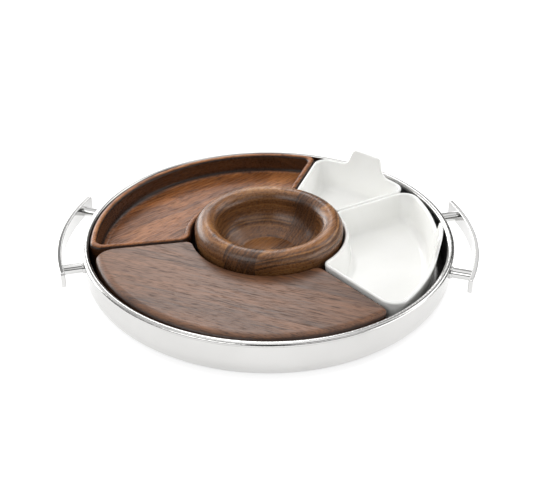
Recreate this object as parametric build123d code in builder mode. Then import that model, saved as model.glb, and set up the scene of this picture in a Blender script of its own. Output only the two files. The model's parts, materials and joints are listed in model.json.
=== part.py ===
from build123d import *
from math import cos, hypot, radians, sin, sqrt, tan
import os

# Serving tray, millimetres. Origin on the ground at the tray's centre, +X to the right handle,
# +Z up. Angles run counter-clockwise from +X.

# Metal tray
pad_height = 1.5
pad_diameter = 18.0
pad_circle_radius = 150.0
tray_height = 43.0
tray_radius = 191.2
tray_corner_radius = 21.0
shell_thickness = 1.0
rim_z = pad_height + tray_height
rim_inner_radius = 185.1
rim_outer_radius = 192.2
rim_bead_height = 5.2
rim_bead_rise = 1.0
rim_bead_turn = 40.0
pan_thickness = 1.0
pan_floor_z = rim_z - 38.0
pan_corner_radius = 10.0

# Handles
strap_outer_radius = 217.0
strap_thickness = 4.5
strap_half_angle = 21.6
strap_height = 17.0
strap_top_z = rim_z - 2.0
strap_corner_radius = 2.5
strap_edge_radius = 0.8
post_angle = 16.2
post_diameter = 10.5
post_socket_depth = 0.6
collar_diameter = 12.6
collar_length = 2.6
collar_edge = 0.6
screw_diameter = 4.0
screw_head_diameter = 8.0
screw_head_height = 2.0
screw_depth = 9.0
washer_diameter = 9.5
washer_thickness = 0.8

# Where the four inserts meet each other, in degrees
angle_dish_to_dish = 31.7
angle_dish_to_wood_tray = 72.7
angle_wood_tray_to_board = 191.9
angle_board_to_dish = 311.1
insert_inner_radius = 80.0

# Wood tray
wood_tray_outer_radius = 184.2
wood_tray_rise = 1.5
wood_tray_depth = 21.0
wood_tray_lip = 7.5
wood_tray_gap = 0.8
wood_tray_draft = 2.0
wood_tray_cove = 6.0
wood_tray_corners = (14.0, 12.0, 12.0)
wood_tray_pocket_corners = (20.0, 16.0, 16.0)

# Board
board_outer_radius = 180.6
board_round_width = 8.0
board_round_drop = 5.0
board_base_radius = 10.0
board_ease = 1.0
board_left_gap = 0.9
board_right_gap = 1.8
board_corners = (8.0, 21.0, 10.0)

# Dip bowl
bowl_centre_x = 1.0
bowl_lip_radius = 65.3
bowl_lip_section = 11.7
bowl_lip_z = rim_z + 7.2
bowl_floor_radius = 30.4
bowl_floor_z = rim_z - 23.0
bowl_foot_radius = 50.0
bowl_foot_width = 9.0
bowl_foot_recess = 1.5

# Porcelain dishes
dish_rise = 2.5
dish_wall = 4.0
dish_draft = 7.0
dish_floor_z = rim_z - 31.5
dish_cove = 7.5
dish_base_radius = 7.0
dish_arc_radius = 209.0
dish_lip_radius = 1.85
dish_foot_inset = 12.0
dish_foot_recess = 1.2
tab_rise = 19.5
tab_top_half_width = 18.3
tab_slope = 6.0
tab_corner_radius = 5.0
tab_root_radius = 11.0
large_dish_gaps = (2.0, 0.4)
large_dish_radius = 176.8
large_dish_corners = (10.0, 17.0, 17.0)
small_dish_gaps = (0.4, 0.7)
small_dish_radius = 179.6
small_dish_corners = (10.0, 15.0, 15.0)

EPS = 0.01


def polar(radius, angle, centre=(0.0, 0.0)):
    return (centre[0] + radius * cos(radians(angle)), centre[1] + radius * sin(radians(angle)))


def meet(angle, offset, radius, centre, side):
    """Point where a line offset from a ray meets an arc."""
    ray = (cos(radians(angle)), sin(radians(angle)))
    normal = (-side * ray[1], side * ray[0])
    base = (offset * normal[0] - centre[0], offset * normal[1] - centre[1])
    along = base[0] * ray[0] + base[1] * ray[1]
    reach = -along + sqrt(along**2 - base[0] ** 2 - base[1] ** 2 + radius**2)
    return (offset * normal[0] + reach * ray[0], offset * normal[1] + reach * ray[1])


def sector(start, end, start_gap, end_gap, inner, outer, arc_shift, corners, inset, z):
    """Rounded sector outline on the plane at z, shrunk by inset."""
    middle = (start + end) / 2
    centre = polar(arc_shift, middle + 180)
    inner_radius = inner + inset
    outer_radius = outer - inset
    a = meet(start, start_gap + inset, inner_radius, (0.0, 0.0), 1)
    b = meet(start, start_gap + inset, outer_radius, centre, 1)
    c = meet(end, end_gap + inset, outer_radius, centre, -1)
    d = meet(end, end_gap + inset, inner_radius, (0.0, 0.0), -1)
    with BuildSketch(Plane.XY.offset(z)) as outline:
        with BuildLine():
            Line(a, b)
            ThreePointArc(b, polar(outer_radius, middle, centre), c)
            Line(c, d)
            ThreePointArc(d, polar(inner_radius, middle), a)
        make_face()
        for (x, y), radius in ((b, corners[1]), (c, corners[2]), (a, corners[0]), (d, corners[0])):
            fillet([v for v in outline.vertices() if hypot(v.X - x, v.Y - y) < EPS], radius - inset)
    return outline.sketch


def edges_at(part, z):
    return [e for e in part.edges() if abs(e.bounding_box().min.Z - z) < EPS
            and abs(e.bounding_box().max.Z - z) < EPS]


def radial_plane(angle, radius, z):
    """Plane whose normal points outward along the given angle."""
    x, y = polar(radius, angle)
    return Plane(origin=(x, y, z), x_dir=(-sin(radians(angle)), cos(radians(angle)), 0),
                 z_dir=(cos(radians(angle)), sin(radians(angle)), 0))


post_angles = {
    "right_front": -post_angle,
    "right_rear": post_angle,
    "left_rear": 180 - post_angle,
    "left_front": 180 + post_angle,
}
post_z = strap_top_z - strap_height / 2
bead_z = rim_z + rim_bead_rise - rim_bead_height / 2
strap_inner_radius = strap_outer_radius - strap_thickness
shell_inner_radius = tray_radius - shell_thickness
socket_radius = strap_inner_radius + post_socket_depth


def make_shell():
    base_z = pad_height
    top_z = bead_z
    corner = tray_radius - tray_corner_radius
    bend_z = base_z + tray_corner_radius
    bend = tray_corner_radius
    inner_bend = bend - shell_thickness
    with BuildPart() as tray_shell:
        with BuildSketch(Plane.XZ):
            with BuildLine():
                Line((0, base_z), (corner, base_z))
                ThreePointArc((corner, base_z),
                              (corner + bend * sin(radians(45)), bend_z - bend * cos(radians(45))),
                              (tray_radius, bend_z))
                Line((tray_radius, bend_z), (tray_radius, top_z))
                Line((tray_radius, top_z), (shell_inner_radius, top_z))
                Line((shell_inner_radius, top_z), (shell_inner_radius, bend_z))
                ThreePointArc((shell_inner_radius, bend_z),
                              (corner + inner_bend * sin(radians(45)),
                               bend_z - inner_bend * cos(radians(45))),
                              (corner, base_z + shell_thickness))
                Line((corner, base_z + shell_thickness), (0, base_z + shell_thickness))
                Line((0, base_z + shell_thickness), (0, base_z))
            make_face()
        revolve(axis=Axis.Z)
        for angle in post_angles.values():
            with BuildSketch(radial_plane(angle, tray_radius - 4, post_z)):
                Circle(screw_diameter / 2)
            extrude(amount=8, mode=Mode.SUBTRACT)
    return tray_shell.part


def make_pan():
    outside = rim_inner_radius + pan_thickness
    corner = rim_inner_radius - pan_corner_radius
    bend_z = pan_floor_z + pan_corner_radius
    bend = pan_corner_radius
    outer_bend = bend + pan_thickness
    middle = (rim_inner_radius + rim_outer_radius) / 2
    half_width = (rim_outer_radius - rim_inner_radius) / 2
    half_height = rim_bead_height / 2
    hem_radius = middle + half_width * cos(radians(rim_bead_turn))
    hem_z = bead_z - half_height * sin(radians(rim_bead_turn))
    with BuildPart() as tray_pan:
        with BuildSketch(Plane.XZ):
            with BuildLine():
                Line((0, pan_floor_z), (corner, pan_floor_z))
                ThreePointArc((corner, pan_floor_z),
                              (corner + bend * sin(radians(45)), bend_z - bend * cos(radians(45))),
                              (rim_inner_radius, bend_z))
                Line((rim_inner_radius, bend_z), (rim_inner_radius, bead_z))
                EllipticalCenterArc((middle, bead_z), half_width, half_height,
                                    start_angle=-rim_bead_turn, arc_size=180 + rim_bead_turn)
                Line((hem_radius, hem_z), (tray_radius, hem_z))
                Line((tray_radius, hem_z), (tray_radius, bead_z))
                EllipticalCenterArc((middle, bead_z), tray_radius - middle,
                                    half_height - pan_thickness, arc_size=180)
                Line((outside, bead_z), (outside, bend_z))
                ThreePointArc((outside, bend_z),
                              (corner + outer_bend * sin(radians(45)),
                               bend_z - outer_bend * cos(radians(45))),
                              (corner, pan_floor_z - pan_thickness))
                Line((corner, pan_floor_z - pan_thickness), (0, pan_floor_z - pan_thickness))
                Line((0, pan_floor_z - pan_thickness), (0, pan_floor_z))
            make_face()
        revolve(axis=Axis.Z)
    return tray_pan.part


def make_pads():
    with BuildPart() as base_pads:
        with BuildSketch(Plane.XY):
            with PolarLocations(pad_circle_radius, 4, start_angle=45):
                Circle(pad_diameter / 2)
        extrude(amount=pad_height)
    return base_pads.part


def make_strap(side_angle):
    """Curved bar of one handle, centred on side_angle."""
    with BuildPart() as strap:
        with BuildSketch(Plane.XY.offset(strap_top_z - strap_height)):
            with BuildLine():
                ends = (side_angle - strap_half_angle, side_angle + strap_half_angle)
                p = [polar(strap_outer_radius, a) for a in ends]
                q = [polar(strap_inner_radius, a) for a in ends]
                ThreePointArc(p[0], polar(strap_outer_radius, side_angle), p[1])
                Line(p[1], q[1])
                ThreePointArc(q[1], polar(strap_inner_radius, side_angle), q[0])
                Line(q[0], p[0])
            make_face()
        extrude(amount=strap_height)
        ends_radial = [e for e in strap.edges().filter_by(GeomType.LINE)
                       if abs(e.bounding_box().max.Z - e.bounding_box().min.Z) < EPS]
        fillet(ends_radial, strap_corner_radius)
        outer_loop = [e for f in strap.faces().filter_by(GeomType.CYLINDER)
                      if abs(f.geom_adaptor().Cylinder().Radius() - strap_outer_radius) < EPS
                      for e in f.edges()]
        inner_loop = [e for f in strap.faces().filter_by(GeomType.CYLINDER)
                      if abs(f.geom_adaptor().Cylinder().Radius() - strap_inner_radius) < EPS
                      for e in f.edges()]
        fillet(outer_loop + inner_loop, strap_edge_radius)
        for angle in post_angles.values():
            if cos(radians(angle - side_angle)) > 0:
                with BuildSketch(radial_plane(angle, strap_inner_radius - 2, post_z)):
                    Circle(post_diameter / 2)
                extrude(amount=2 + post_socket_depth, mode=Mode.SUBTRACT)
    return strap.part


def make_collar(angle):
    """Turned ferrule between the tray wall and a post, saddled onto the wall."""
    outer_face = tray_radius + collar_length
    with BuildPart() as collar:
        with BuildSketch(radial_plane(angle, tray_radius - 1, post_z)):
            Circle(collar_diameter / 2)
        extrude(amount=collar_length + 1)
        rims = [e for e in collar.edges().filter_by(GeomType.CIRCLE)
                if hypot(e.center().X, e.center().Y) > outer_face - EPS]
        fillet(rims, collar_edge)
        with BuildSketch(Plane.XY):
            Circle(tray_radius)
        extrude(amount=rim_z + 20, mode=Mode.SUBTRACT)
        with BuildSketch(radial_plane(angle, tray_radius - 2, post_z)):
            Circle(screw_diameter / 2)
        extrude(amount=collar_length + 4, mode=Mode.SUBTRACT)
    return collar.part


def make_post(angle):
    """Round bar from the collar into its socket in the strap, tapped for the screw."""
    start = tray_radius + collar_length
    with BuildPart() as post:
        with BuildSketch(radial_plane(angle, start, post_z)):
            Circle(post_diameter / 2)
        extrude(amount=socket_radius - start)
        with BuildSketch(radial_plane(angle, start, post_z)):
            Circle(screw_diameter / 2)
        extrude(amount=screw_depth + 1, mode=Mode.SUBTRACT)
    return post.part


def make_washers():
    with BuildPart() as post_washers:
        for angle in post_angles.values():
            with BuildSketch(radial_plane(angle, shell_inner_radius - washer_thickness, post_z)):
                Circle(washer_diameter / 2)
                Circle(screw_diameter / 2, mode=Mode.SUBTRACT)
            extrude(amount=washer_thickness * 2)
        with BuildSketch(Plane.XY):
            Circle(shell_inner_radius + 5)
            Circle(shell_inner_radius, mode=Mode.SUBTRACT)
        extrude(amount=rim_z, mode=Mode.SUBTRACT)
    return post_washers.part


def make_screws():
    seat = shell_inner_radius - washer_thickness
    with BuildPart() as post_screws:
        for angle in post_angles.values():
            with BuildSketch(radial_plane(angle, seat - screw_head_height, post_z)):
                Circle(screw_head_diameter / 2)
            extrude(amount=screw_head_height)
            with BuildSketch(radial_plane(angle, seat, post_z)):
                Circle(screw_diameter / 2)
            extrude(amount=tray_radius + collar_length + screw_depth - seat)
    return post_screws.part


def make_wood_tray():
    top = rim_z + wood_tray_rise
    height = top - pan_floor_z
    floor_z = top - wood_tray_depth
    shrink = height * tan(radians(wood_tray_draft))
    shape = (angle_dish_to_wood_tray, angle_wood_tray_to_board, wood_tray_gap, wood_tray_gap,
             insert_inner_radius, wood_tray_outer_radius, 0.0, wood_tray_corners)
    with BuildPart() as wood_tray:
        add(sector(*shape, shrink, pan_floor_z))
        extrude(amount=height, taper=-wood_tray_draft)
        fillet(edges_at(wood_tray, pan_floor_z), 8.0)
        inner_shrink = wood_tray_lip + wood_tray_depth * tan(radians(wood_tray_draft))
        add(sector(*shape[:7], wood_tray_pocket_corners, inner_shrink, floor_z))
        extrude(amount=wood_tray_depth, taper=-wood_tray_draft, mode=Mode.SUBTRACT)
        fillet(edges_at(wood_tray, floor_z), wood_tray_cove)
        fillet(edges_at(wood_tray, top), wood_tray_lip / 2 - 0.1)
    return wood_tray.part


def make_board():
    height = rim_z - pan_floor_z
    shape = (angle_wood_tray_to_board, angle_board_to_dish, board_left_gap, board_right_gap,
             insert_inner_radius, board_outer_radius, 0.0, board_corners)
    outer = board_outer_radius
    base_turn = board_base_radius * (1 - cos(radians(45)))
    with BuildPart() as board:
        add(sector(*shape, 0.0, pan_floor_z))
        extrude(amount=height)
        fillet(edges_at(board, rim_z), board_ease)
        with BuildSketch(Plane.XZ):
            with BuildLine():
                Line((0, rim_z), (0, pan_floor_z))
                Line((0, pan_floor_z), (outer - board_base_radius, pan_floor_z))
                ThreePointArc((outer - board_base_radius, pan_floor_z),
                              (outer - base_turn, pan_floor_z + base_turn),
                              (outer, pan_floor_z + board_base_radius))
                Line((outer, pan_floor_z + board_base_radius), (outer, rim_z - board_round_drop))
                EllipticalCenterArc((outer - board_round_width, rim_z - board_round_drop),
                                    board_round_width, board_round_drop, arc_size=90)
                Line((outer - board_round_width, rim_z), (0, rim_z))
            make_face()
        revolve(axis=Axis.Z, mode=Mode.INTERSECT)
    return board.part


def make_bowl():
    lip_r = bowl_lip_radius
    lip_s = bowl_lip_section
    outer = (lip_r + lip_s, bowl_lip_z)
    crest = (lip_r, bowl_lip_z + lip_s)
    inner = (lip_r - lip_s, bowl_lip_z)
    base_z = pan_floor_z
    with BuildPart() as dip_bowl:
        with BuildSketch(Plane.XZ):
            with BuildLine():
                ThreePointArc(outer, (lip_r + lip_s * cos(radians(45)),
                                      bowl_lip_z + lip_s * sin(radians(45))), crest)
                ThreePointArc(crest, (lip_r - lip_s * cos(radians(45)),
                                      bowl_lip_z + lip_s * sin(radians(45))), inner)
                Spline(inner, (bowl_floor_radius, bowl_floor_z), tangents=((0, -1), (-1, -0.55)))
                Line((bowl_floor_radius, bowl_floor_z), (0, bowl_floor_z))
                Line((0, bowl_floor_z), (0, base_z + bowl_foot_recess))
                recess = bowl_foot_radius - bowl_foot_width
                Line((0, base_z + bowl_foot_recess), (recess, base_z + bowl_foot_recess))
                Line((recess, base_z + bowl_foot_recess), (recess, base_z))
                Line((recess, base_z), (bowl_foot_radius, base_z))
                Spline((bowl_foot_radius, base_z), outer, tangents=((1, 0.35), (0, 1)))
            make_face()
        revolve(axis=Axis.Z)
    return dip_bowl.part.moved(Location((bowl_centre_x, 0, 0)))


def make_dish(start, end, gaps, middle_radius, corners):
    """Porcelain dish with one raised tab on its outer wall."""
    rim = rim_z + dish_rise
    tab_top = rim + tab_rise
    middle = (start + end) / 2
    slope = tan(radians(dish_draft))
    shift = dish_arc_radius - middle_radius
    shape = (start, end, *gaps, insert_inner_radius, dish_arc_radius, shift, corners)
    with BuildPart() as dish:
        add(sector(*shape, (rim - pan_floor_z) * slope, pan_floor_z))
        extrude(amount=tab_top - pan_floor_z, taper=-dish_draft)
        fillet(edges_at(dish, pan_floor_z), dish_base_radius)
        inner_shrink = dish_wall + (rim - dish_floor_z) * slope
        add(sector(*shape, inner_shrink, dish_floor_z))
        extrude(amount=tab_top - dish_floor_z, taper=-dish_draft, mode=Mode.SUBTRACT)
        fillet(edges_at(dish, dish_floor_z), dish_cove)
        with BuildSketch(radial_plane(middle, 120, 0)) as crown:
            with BuildLine():
                Polyline((-150, tab_top + 5), (-150, rim), (-tab_top_half_width - tab_slope, rim),
                         (-tab_top_half_width, tab_top), (tab_top_half_width, tab_top),
                         (tab_top_half_width + tab_slope, rim), (150, rim), (150, tab_top + 5),
                         close=True)
            make_face()
            roots = [v for v in crown.vertices() if abs(v.Y - rim) < EPS and abs(v.X) < 100]
            fillet(roots, tab_root_radius)
            tips = [v for v in crown.vertices() if abs(v.Y - tab_top) < EPS]
            fillet(tips, tab_corner_radius)
        extrude(amount=120, mode=Mode.SUBTRACT)
        with BuildSketch(radial_plane(middle, 120, 0)):
            with Locations((0, rim + 20)):
                Rectangle(300, 40)
        extrude(amount=-120, mode=Mode.SUBTRACT)
        top_edges = [e for e in dish.edges() if e.bounding_box().min.Z > rim - EPS]
        fillet(top_edges, dish_lip_radius)
        foot_shrink = (rim - pan_floor_z) * slope + dish_foot_inset
        foot_corners = (foot_shrink + 2, foot_shrink + 4, foot_shrink + 4)
        add(sector(*shape[:7], foot_corners, foot_shrink, pan_floor_z))
        extrude(amount=dish_foot_recess, mode=Mode.SUBTRACT)
    return dish.part


def build():
    parts = {
        "tray_shell": make_shell(),
        "tray_pan": make_pan(),
        "base_pads": make_pads(),
        "left_handle_strap": make_strap(180),
        "right_handle_strap": make_strap(0),
        "post_washers": make_washers(),
        "post_screws": make_screws(),
        "wood_tray": make_wood_tray(),
        "board": make_board(),
        "dip_bowl": make_bowl(),
        "large_dish": make_dish(angle_board_to_dish - 360, angle_dish_to_dish, large_dish_gaps,
                                large_dish_radius, large_dish_corners),
        "small_dish": make_dish(angle_dish_to_dish, angle_dish_to_wood_tray, small_dish_gaps,
                                small_dish_radius, small_dish_corners),
    }
    for place, angle in post_angles.items():
        parts[place + "_collar"] = make_collar(angle)
        parts[place + "_post"] = make_post(angle)
    return parts


os.makedirs("parts", exist_ok=True)
for name, part in build().items():
    part.label = name
    export_step(part, f"parts/{name}.step")
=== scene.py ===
import json
import math
from typing import NamedTuple

import bpy
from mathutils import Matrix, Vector


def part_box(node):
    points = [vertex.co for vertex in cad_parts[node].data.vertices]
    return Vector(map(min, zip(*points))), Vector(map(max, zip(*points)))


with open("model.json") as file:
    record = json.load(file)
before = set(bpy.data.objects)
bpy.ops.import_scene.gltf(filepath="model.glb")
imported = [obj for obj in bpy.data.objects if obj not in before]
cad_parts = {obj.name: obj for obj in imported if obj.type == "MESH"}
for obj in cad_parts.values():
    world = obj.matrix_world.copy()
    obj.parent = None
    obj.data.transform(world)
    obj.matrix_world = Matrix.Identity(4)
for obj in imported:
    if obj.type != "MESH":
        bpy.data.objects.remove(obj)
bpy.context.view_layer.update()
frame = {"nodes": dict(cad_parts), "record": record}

BOARD_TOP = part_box("board")[1].z
BOWL_LOW, BOWL_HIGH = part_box("dip_bowl")
MM = 1000.0  # millimetres in a metre

# Camera: where it looks and how far it stands off in metres, its angles in degrees, its lens in mm.
AIM = Vector((-0.0008, -0.0290, BOARD_TOP))
CAMERA_AZIMUTH, CAMERA_ELEVATION, CAMERA_DISTANCE = 1.46, 31.91, 1.053
LENS, SENSOR_WIDTH = 69.84, 36.0
NEAREST, FURTHEST = 0.01, 50.0

# Floor: half its width and how far it lies under the tray, in metres.
FLOOR_REACH, FLOOR_DROP = 6.0, 0.0002
WHITE = (1.0, 1.0, 1.0, 1.0)


class Panel(NamedTuple):
    """A soft-edged patch of studio light, in degrees; azimuth 0 is the front and 90 the right."""

    azimuth: float
    half_width: float
    low: float
    high: float
    edge: float
    strength: float


AMBIENT = 0.06
PANELS = [
    Panel(184, 8, 28, 58, 4, 4.6),     # behind
    Panel(192, 10, 12, 24, 3, 3.0),    # behind, low
    Panel(226, 24, 0, 28, 4, 5.2),     # rear left, low
    Panel(224, 24, 34, 48, 4, 1.1),    # rear left
    Panel(164, 7, 26, 40, 3, 1.1),     # behind, to the right
    Panel(322, 24, 18, 50, 5, 2.4),    # front left
    Panel(40, 24, 18, 50, 5, 1.0),     # front right
    Panel(80, 20, 0, 20, 4, 3.2),      # right, low
    Panel(120, 20, 20, 50, 4, 2.4),    # rear right
    Panel(280, 20, 20, 50, 4, 0.7),    # left
    Panel(180, 120, 50, 70, 4, 0.9),   # a high band round the back and sides
    Panel(180, 181, 68, 95, 4, 1.3),   # overhead, all round
]


class Plank(NamedTuple):
    """One block of a glued piece of wood; lengths in mm."""

    start: float        # across the grain, where the block begins
    pith_across: float  # where the middle of its growth rings lies, across the grain
    pith_height: float  # and how high
    tone: float         # 0 is dark, 1 is light
    shift: float        # which stretch of the log it was cut from


LAST_PLANK = 100.0   # mm from the last block's start to the end of the block ramp
PITH_REACH = 400.0   # mm, furthest that a pith can lie from the centre
LOG_LENGTH = 900.0   # mm along the log for a shift of 1

# Weight of the fibres and the broad clouds in a wood's shade, and of fibres and pores in its roughness.
FIBRE_SHADE, CLOUD_SHADE = 0.45, 0.40
FIBRE_HAZE, PORE_HAZE = 0.16, 0.24
WALL_SHADE_SHARE = 0.80    # how much of the painted edge shade the upright walls take
WOOD_BUMP, STEEL_BUMP, GLAZE_BUMP, RUBBER_BUMP = 0.014, 0.0010, 0.25, 0.06  # mm

DARK_WOOD = (0.022, 0.010, 0.006)


def towards(azimuth, elevation):
    """Unit vector to a place seen from the tray; azimuth 0 is the front (-Y), 90 is the right (+X)."""
    a, e = math.radians(azimuth), math.radians(elevation)
    return Vector((math.sin(a) * math.cos(e), -math.cos(a) * math.cos(e), math.sin(e)))


def make_camera():
    back = towards(CAMERA_AZIMUTH, CAMERA_ELEVATION)
    data = bpy.data.cameras.new("camera")
    data.sensor_width = SENSOR_WIDTH
    data.lens = LENS
    data.clip_start, data.clip_end = NEAREST, FURTHEST
    camera = bpy.data.objects.new("camera", data)
    camera.location = AIM + back * CAMERA_DISTANCE
    camera.rotation_mode = "QUATERNION"
    camera.rotation_quaternion = (-back).to_track_quat("-Z", "Y")
    bpy.context.scene.collection.objects.link(camera)
    bpy.context.scene.camera = camera


class Graph:
    """A node tree, with one short call for each kind of node used here."""

    def __init__(self, tree):
        self.nodes, self.links = tree.nodes, tree.links

    def add(self, kind, **settings):
        node = self.nodes.new(kind)
        for name, value in settings.items():
            setattr(node, name, value)
        return node

    def put(self, socket, value):
        """Link value to the socket, or set it where it is a plain value."""
        if isinstance(value, bpy.types.NodeSocket):
            self.links.new(value, socket)
        else:
            socket.default_value = value

    def math(self, operation, a, b=0.0, c=0.0, clamp=False):
        node = self.add("ShaderNodeMath", operation=operation, use_clamp=clamp)
        for socket, value in zip(node.inputs, (a, b, c)):
            self.put(socket, value)
        return node.outputs[0]

    def vector(self, operation, a, b=(0.0, 0.0, 0.0)):
        node = self.add("ShaderNodeVectorMath", operation=operation)
        self.put(node.inputs[0], a)
        self.put(node.inputs[1], b)
        return node.outputs["Value" if operation == "DOT_PRODUCT" else "Vector"]

    def split(self, vector):
        node = self.add("ShaderNodeSeparateXYZ")
        self.put(node.inputs[0], vector)
        return node.outputs

    def join(self, x, y, z):
        node = self.add("ShaderNodeCombineXYZ")
        for socket, value in zip(node.inputs, (x, y, z)):
            self.put(socket, value)
        return node.outputs[0]

    def position(self):
        """Where the point is on the object, in millimetres, fixed to the object as it moves."""
        return self.vector("MULTIPLY", self.add("ShaderNodeTexCoord").outputs["Object"], (MM, MM, MM))

    def noise(self, vector, scale=1.0, detail=2.0, roughness=0.5, distortion=0.0):
        node = self.add("ShaderNodeTexNoise")
        self.put(node.inputs["Vector"], vector)
        self.put(node.inputs["Scale"], scale)
        self.put(node.inputs["Detail"], detail)
        self.put(node.inputs["Roughness"], roughness)
        self.put(node.inputs["Distortion"], distortion)
        return node.outputs[0]

    def bands(self, value, scale, detail, roughness):
        """Noise that varies with one value alone."""
        node = self.add("ShaderNodeTexNoise", noise_dimensions="1D")
        self.put(node.inputs["W"], value)
        self.put(node.inputs["Scale"], scale)
        self.put(node.inputs["Detail"], detail)
        self.put(node.inputs["Roughness"], roughness)
        return node.outputs[0]

    def ramp(self, value, stops, interpolation="LINEAR"):
        """Colour by value; stops are (place from 0 to 1, colour)."""
        node = self.add("ShaderNodeValToRGB")
        self.put(node.inputs[0], value)
        node.color_ramp.interpolation = interpolation
        elements = node.color_ramp.elements
        while len(elements) < len(stops):
            elements.new(0.5)
        for element, (at, colour) in zip(elements, sorted(stops)):
            element.position = at
            element.color = (*colour, 1.0)
        return node.outputs[0]

    def span(self, value, low, high, to_low=0.0, to_high=1.0, smooth=False):
        """Value mapped from low..high to to_low..to_high, and held at the ends."""
        node = self.add("ShaderNodeMapRange", clamp=True)
        node.interpolation_type = "SMOOTHSTEP" if smooth else "LINEAR"
        for socket, v in zip(node.inputs, (value, low, high, to_low, to_high)):
            self.put(socket, v)
        return node.outputs[0]

    def mix(self, factor, a, b):
        node = self.add("ShaderNodeMix", data_type="RGBA")
        self.put(node.inputs["Factor"], factor)
        colours = [s for s in node.inputs if s.type == "RGBA"]
        for socket, value in zip(colours, (a, b)):
            self.put(socket, value if isinstance(value, bpy.types.NodeSocket) else (*value, 1.0))
        return [s for s in node.outputs if s.type == "RGBA"][0]

    def bump(self, height, distance):
        """Normal with relief of the given height, distance in mm."""
        node = self.add("ShaderNodeBump")
        self.put(node.inputs["Distance"], distance / MM)
        self.put(node.inputs["Height"], height)
        return node.outputs[0]

    def hypotenuse(self, a, b):
        return self.math("SQRT", self.math("ADD", self.math("MULTIPLY", a, a), self.math("MULTIPLY", b, b)))


def new_material(name, **settings):
    """A Principled material; settings are values of its own sockets."""
    material = bpy.data.materials.new(name)
    material.use_nodes = True
    shader = material.node_tree.nodes["Principled BSDF"]
    for socket, value in settings.items():
        shader.inputs[socket.replace("_", " ")].default_value = value
    return material, shader, Graph(material.node_tree)


def log_coordinates(g, grain, centre, planks):
    """Distance along the log, across and up from its pith in mm, and the tone of the block there."""
    a = math.radians(grain)
    here = g.vector("SUBTRACT", g.position(), tuple(MM * c for c in centre))
    along = g.vector("DOT_PRODUCT", here, (math.cos(a), math.sin(a), 0.0))
    across = g.vector("DOT_PRODUCT", here, (-math.sin(a), math.cos(a), 0.0))
    height = g.split(here)[2]

    low, high = planks[0].start, planks[-1].start + LAST_PLANK
    place = g.span(across, low, high)
    piths, tones = [], []
    for plank in planks:
        at = (plank.start - low) / (high - low)
        piths.append((at, (0.5 + plank.pith_across / PITH_REACH / 2,
                           0.5 + plank.pith_height / PITH_REACH / 2, plank.shift)))
        tones.append((at, (plank.tone, plank.tone, plank.tone)))
    pith = g.split(g.ramp(place, piths, "CONSTANT"))
    tone = g.split(g.ramp(place, tones, "CONSTANT"))[0]
    along = g.math("MULTIPLY_ADD", pith[2], LOG_LENGTH, along)
    side = g.math("SUBTRACT", across, g.span(pith[0], 0.0, 1.0, -PITH_REACH, PITH_REACH))
    rise = g.math("SUBTRACT", height, g.span(pith[1], 0.0, 1.0, -PITH_REACH, PITH_REACH))
    return along, side, rise, tone


def make_wood(name, grain, centre, planks, colours, rings, drift, dashes, pores, edge_shade,
              roughness, specular=0.5):
    """Solid wood cut from glued planks that run along grain degrees from +X.

    rings is (bands per mm, weight) and drift how far the rings wander in mm. dashes, pores and the edge
    argument are how dark the short streaks, the pores and the painted shade on faces that aren't level are.
    """
    material, shader, g = new_material(name, Specular_IOR_Level=specular)
    along, side, rise, tone = log_coordinates(g, grain, centre, planks)

    def stretched(along_scale, cross_scale, **settings):
        """Noise drawn out along the grain; both scales are cells per mm."""
        return g.noise(g.join(g.math("MULTIPLY", along, along_scale),
                              g.math("MULTIPLY", side, cross_scale),
                              g.math("MULTIPLY", rise, cross_scale)), **settings)

    wander = g.math("SUBTRACT", stretched(0.010, 0.028, detail=2.0), 0.5)
    radius = g.hypotenuse(side, rise)
    growth = g.bands(g.math("MULTIPLY_ADD", wander, drift, radius), rings[0], detail=3.0, roughness=0.62)
    fibres = stretched(0.022, 0.55, detail=3.0, roughness=0.65, distortion=0.25)
    cloud = stretched(0.009, 0.035, detail=1.0)
    dash = g.span(stretched(0.045, 0.45, detail=2.0, roughness=0.55), 0.50, 0.74)
    pore = g.span(stretched(0.09, 1.35, detail=1.0, roughness=0.5), 0.50, 0.66, smooth=True)

    shade = g.math("MULTIPLY_ADD", g.math("SUBTRACT", growth, 0.5), rings[1], tone)
    shade = g.math("MULTIPLY_ADD", g.math("SUBTRACT", fibres, 0.5), FIBRE_SHADE, shade)
    shade = g.math("MULTIPLY_ADD", g.math("SUBTRACT", cloud, 0.5), CLOUD_SHADE, shade)
    shade = g.math("MULTIPLY_ADD", dash, -dashes, shade, clamp=True)
    colour = g.mix(g.math("MULTIPLY", pore, pores), g.ramp(shade, colours), DARK_WOOD)
    # Painted shade: faces that turn away from level, rounded edges and upright walls, are mixed toward dark
    # wood.
    level = g.math("ABSOLUTE", g.split(g.add("ShaderNodeNewGeometry").outputs["Normal"])[2])
    painted_shade = g.math("MULTIPLY", g.span(level, 0.60, 0.99, edge_shade, 0.0, smooth=True),
                      g.span(level, 0.05, 0.45, WALL_SHADE_SHARE, 1.0))
    g.put(shader.inputs["Base Color"], g.mix(painted_shade, colour, DARK_WOOD))

    gloss = g.math("MULTIPLY_ADD", fibres, FIBRE_HAZE, roughness - FIBRE_HAZE / 2)
    g.put(shader.inputs["Roughness"], g.math("MULTIPLY_ADD", pore, PORE_HAZE, gloss))
    relief = g.math("SUBTRACT", g.math("MULTIPLY", fibres, 0.35), g.math("MULTIPLY_ADD", dash, 0.5, pore))
    g.put(shader.inputs["Normal"], g.bump(relief, WOOD_BUMP))
    return material


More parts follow.
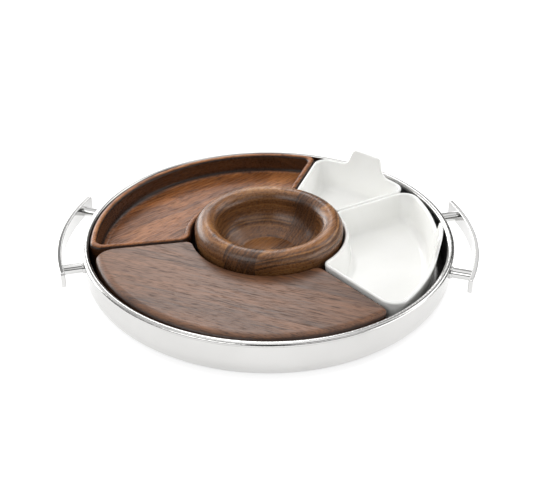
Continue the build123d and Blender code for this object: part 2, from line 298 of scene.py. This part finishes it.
def make_board_wood():
    return make_wood("board_walnut", grain=-19.0, centre=(0.0, -0.10, BOARD_TOP),
                     planks=[Plank(-130, -40, 260, 0.52, 0.1), Plank(-46, 30, -190, 0.56, 0.45),
                             Plank(-1, 90, 150, 0.50, 0.8), Plank(44, -60, 240, 0.52, 0.25)],
                     colours=[(0.0, DARK_WOOD), (0.32, (0.070, 0.028, 0.012)),
                              (0.60, (0.21, 0.086, 0.034)), (1.0, (0.34, 0.165, 0.075))],
                     rings=(0.20, 0.32), drift=16.0, dashes=0.10, pores=0.62, edge_shade=0.92,
                     roughness=0.31)


def make_tray_wood():
    return make_wood("tray_walnut", grain=44.0, centre=(-0.08, 0.08, BOARD_TOP),
                     planks=[Plank(-200, 60, -240, 0.55, 0.6), Plank(150, -30, 200, 0.50, 0.2)],
                     colours=[(0.0, DARK_WOOD), (0.30, (0.10, 0.032, 0.009)),
                              (0.60, (0.38, 0.140, 0.044)), (1.0, (0.56, 0.26, 0.095))],
                     rings=(0.15, 0.50), drift=26.0, dashes=0.14, pores=0.65, edge_shade=1.0,
                     roughness=0.28, specular=0.28)


def make_bowl_wood():
    middle = (BOWL_LOW + BOWL_HIGH) / 2
    return make_wood("bowl_walnut", grain=57.0, centre=(middle.x, middle.y, 0.0),
                     planks=[Plank(-110, -62, -25, 0.55, 0.3), Plank(-32, -260, -20, 0.40, 0.5),
                             Plank(2, 20, 380, 0.57, 0.15)],
                     colours=[(0.0, DARK_WOOD), (0.34, (0.078, 0.030, 0.010)),
                              (0.60, (0.29, 0.118, 0.034)), (1.0, (0.64, 0.335, 0.12))],
                     rings=(0.42, 0.88), drift=5.0, dashes=0.05, pores=0.45, edge_shade=0.48,
                     roughness=0.28)


def scaled(colour, share):
    return tuple(share * c for c in colour)


def make_steel(name, colour, roughness, haze, spun=0.0, shaded_hollow=None):
    """Metal with soft haze; spun is the share of lines turned round the tray's axis in it.

    The last argument is (radius, height, share of the colour, added roughness) of a hollow that is rougher
    and painted darker as shade, in mm.
    """
    material, shader, g = new_material(name, Metallic=1.0)
    here = g.position()
    x, y, z = g.split(here)
    out = g.hypotenuse(x, y)
    cloud = g.noise(here, scale=0.018, detail=3.0)
    tint = g.ramp(cloud, [(0.3, scaled(colour, 0.96)), (0.7, scaled(colour, 1.03))])
    scratch = g.noise(g.vector("MULTIPLY", here, (0.9, 0.9, 3.1)), detail=4.0, roughness=0.7, distortion=0.6)
    if spun:
        lines = g.bands(g.math("MULTIPLY_ADD", z, 1.7, out), 2.4, detail=3.0, roughness=0.75)
        scratch = g.math("ADD", g.math("MULTIPLY", lines, spun), g.math("MULTIPLY", scratch, 1.0 - spun))
    rough = g.span(scratch, 0.3, 0.7, roughness, roughness + haze)
    if shaded_hollow:
        radius, top, share, dull = shaded_hollow
        in_shaded_hollow = g.math("MULTIPLY", g.span(out, radius - 0.5, radius, 1.0, 0.0),
                        g.span(z, top - 2.0, top, 1.0, 0.0))
        # Painted shade: in the hollow below the rim the steel's colour is darkened to the given share, and
        # its roughness is raised.
        tint = g.mix(in_shaded_hollow, tint, scaled(colour, share))
        rough = g.math("MULTIPLY_ADD", in_shaded_hollow, dull, rough)
    g.put(shader.inputs["Base Color"], tint)
    g.put(shader.inputs["Roughness"], rough)
    g.put(shader.inputs["Normal"], g.bump(scratch, STEEL_BUMP))
    return material


def make_porcelain():
    """Warm white glaze with faint pooling and a few tiny specks."""
    material, shader, g = new_material("porcelain_glaze", IOR=1.52)
    here = g.position()
    pool = g.noise(here, scale=0.022, detail=2.0)
    colour = g.ramp(pool, [(0.35, (0.915, 0.915, 0.89)), (0.65, (0.94, 0.94, 0.92))])
    speck = g.span(g.noise(here, scale=0.9, detail=0.0), 0.80, 0.86)
    g.put(shader.inputs["Base Color"], g.mix(g.math("MULTIPLY", speck, 0.25), colour, (0.55, 0.52, 0.46)))
    g.put(shader.inputs["Roughness"], g.span(pool, 0.3, 0.7, 0.07, 0.13))
    g.put(shader.inputs["Normal"], g.bump(g.noise(here, scale=0.05, detail=1.0), GLAZE_BUMP))
    return material


def make_rubber():
    material, shader, g = new_material("pad_rubber")
    grain = g.noise(g.position(), scale=2.5, detail=3.0)
    colour = g.ramp(grain, [(0.3, (0.018, 0.018, 0.019)), (0.7, (0.04, 0.04, 0.042))])
    g.put(shader.inputs["Base Color"], colour)
    g.put(shader.inputs["Roughness"], g.span(grain, 0.3, 0.7, 0.7, 0.85))
    g.put(shader.inputs["Normal"], g.bump(grain, RUBBER_BUMP))
    return material


def make_stage():
    corners = [(-1, -1), (1, -1), (1, 1), (-1, 1)]
    mesh = bpy.data.meshes.new("floor")
    points = [(x * FLOOR_REACH, y * FLOOR_REACH, -FLOOR_DROP) for x, y in corners]
    mesh.from_pydata(points, [], [(0, 1, 2, 3)])
    floor = bpy.data.objects.new("floor", mesh)
    bpy.context.scene.collection.objects.link(floor)
    material, *_ = new_material("floor", Base_Color=(0.68, 0.68, 0.68, 1.0), Roughness=0.9,
                                Specular_IOR_Level=0.0, Emission_Color=WHITE, Emission_Strength=0.72)
    mesh.materials.append(material)


def make_world():
    """A studio of soft-edged light panels, which the camera itself sees as plain white."""
    world = bpy.data.worlds.new("studio")
    world.use_nodes = True
    g = Graph(world.node_tree)
    background = world.node_tree.nodes["Background"]
    x, y, z = g.split(g.vector("NORMALIZE", g.add("ShaderNodeTexCoord").outputs["Generated"]))
    elevation = g.math("DEGREES", g.math("ARCSINE", z))
    light = AMBIENT
    for azimuth, half_width, low, high, edge, strength in PANELS:
        a = math.radians(azimuth)
        forward = g.math("SUBTRACT", g.math("MULTIPLY", x, math.sin(a)), g.math("MULTIPLY", y, math.cos(a)))
        sideways = g.math("ADD", g.math("MULTIPLY", x, math.cos(a)), g.math("MULTIPLY", y, math.sin(a)))
        away = g.math("ABSOLUTE", g.math("DEGREES", g.math("ARCTAN2", sideways, forward)))
        panel = g.span(away, half_width - edge, half_width + edge, strength, 0.0, smooth=True)
        panel = g.math("MULTIPLY", panel, g.span(elevation, low - edge, low + edge, smooth=True))
        panel = g.math("MULTIPLY", panel, g.span(elevation, high - edge, high + edge, 1.0, 0.0, smooth=True))
        light = g.math("ADD", panel, light)
    seen = g.add("ShaderNodeLightPath").outputs["Is Camera Ray"]
    g.put(background.inputs["Strength"], g.math("MAXIMUM", light, seen))
    g.put(background.inputs["Color"], WHITE)
    bpy.context.scene.world = world


make_camera()
make_stage()
make_world()

MATERIALS = {
    "board_wood": make_board_wood(),
    "tray_wood": make_tray_wood(),
    "bowl_wood": make_bowl_wood(),
    "porcelain": make_porcelain(),
    # The pan's hollow below the rim gets painted shade.
    "polished_steel": make_steel("polished_steel", (0.565, 0.56, 0.55), 0.13, 0.06, spun=0.5,
                                 shaded_hollow=(186.0, 42.0, 0.30, 0.12)),
    "handle_steel": make_steel("handle_steel", (0.60, 0.597, 0.59), 0.06, 0.04),
    "fixing_steel": make_steel("fixing_steel", (0.50, 0.50, 0.50), 0.25, 0.15),
    "pad_rubber": make_rubber(),
}
for part in frame["record"]["subparts"]:
    piece = frame["nodes"][part["node"]]
    piece.data.materials.clear()
    piece.data.materials.append(MATERIALS[part["material_slot"]])

scene = bpy.context.scene
scene.view_settings.view_transform = "Standard"
scene.cycles.use_denoising = True
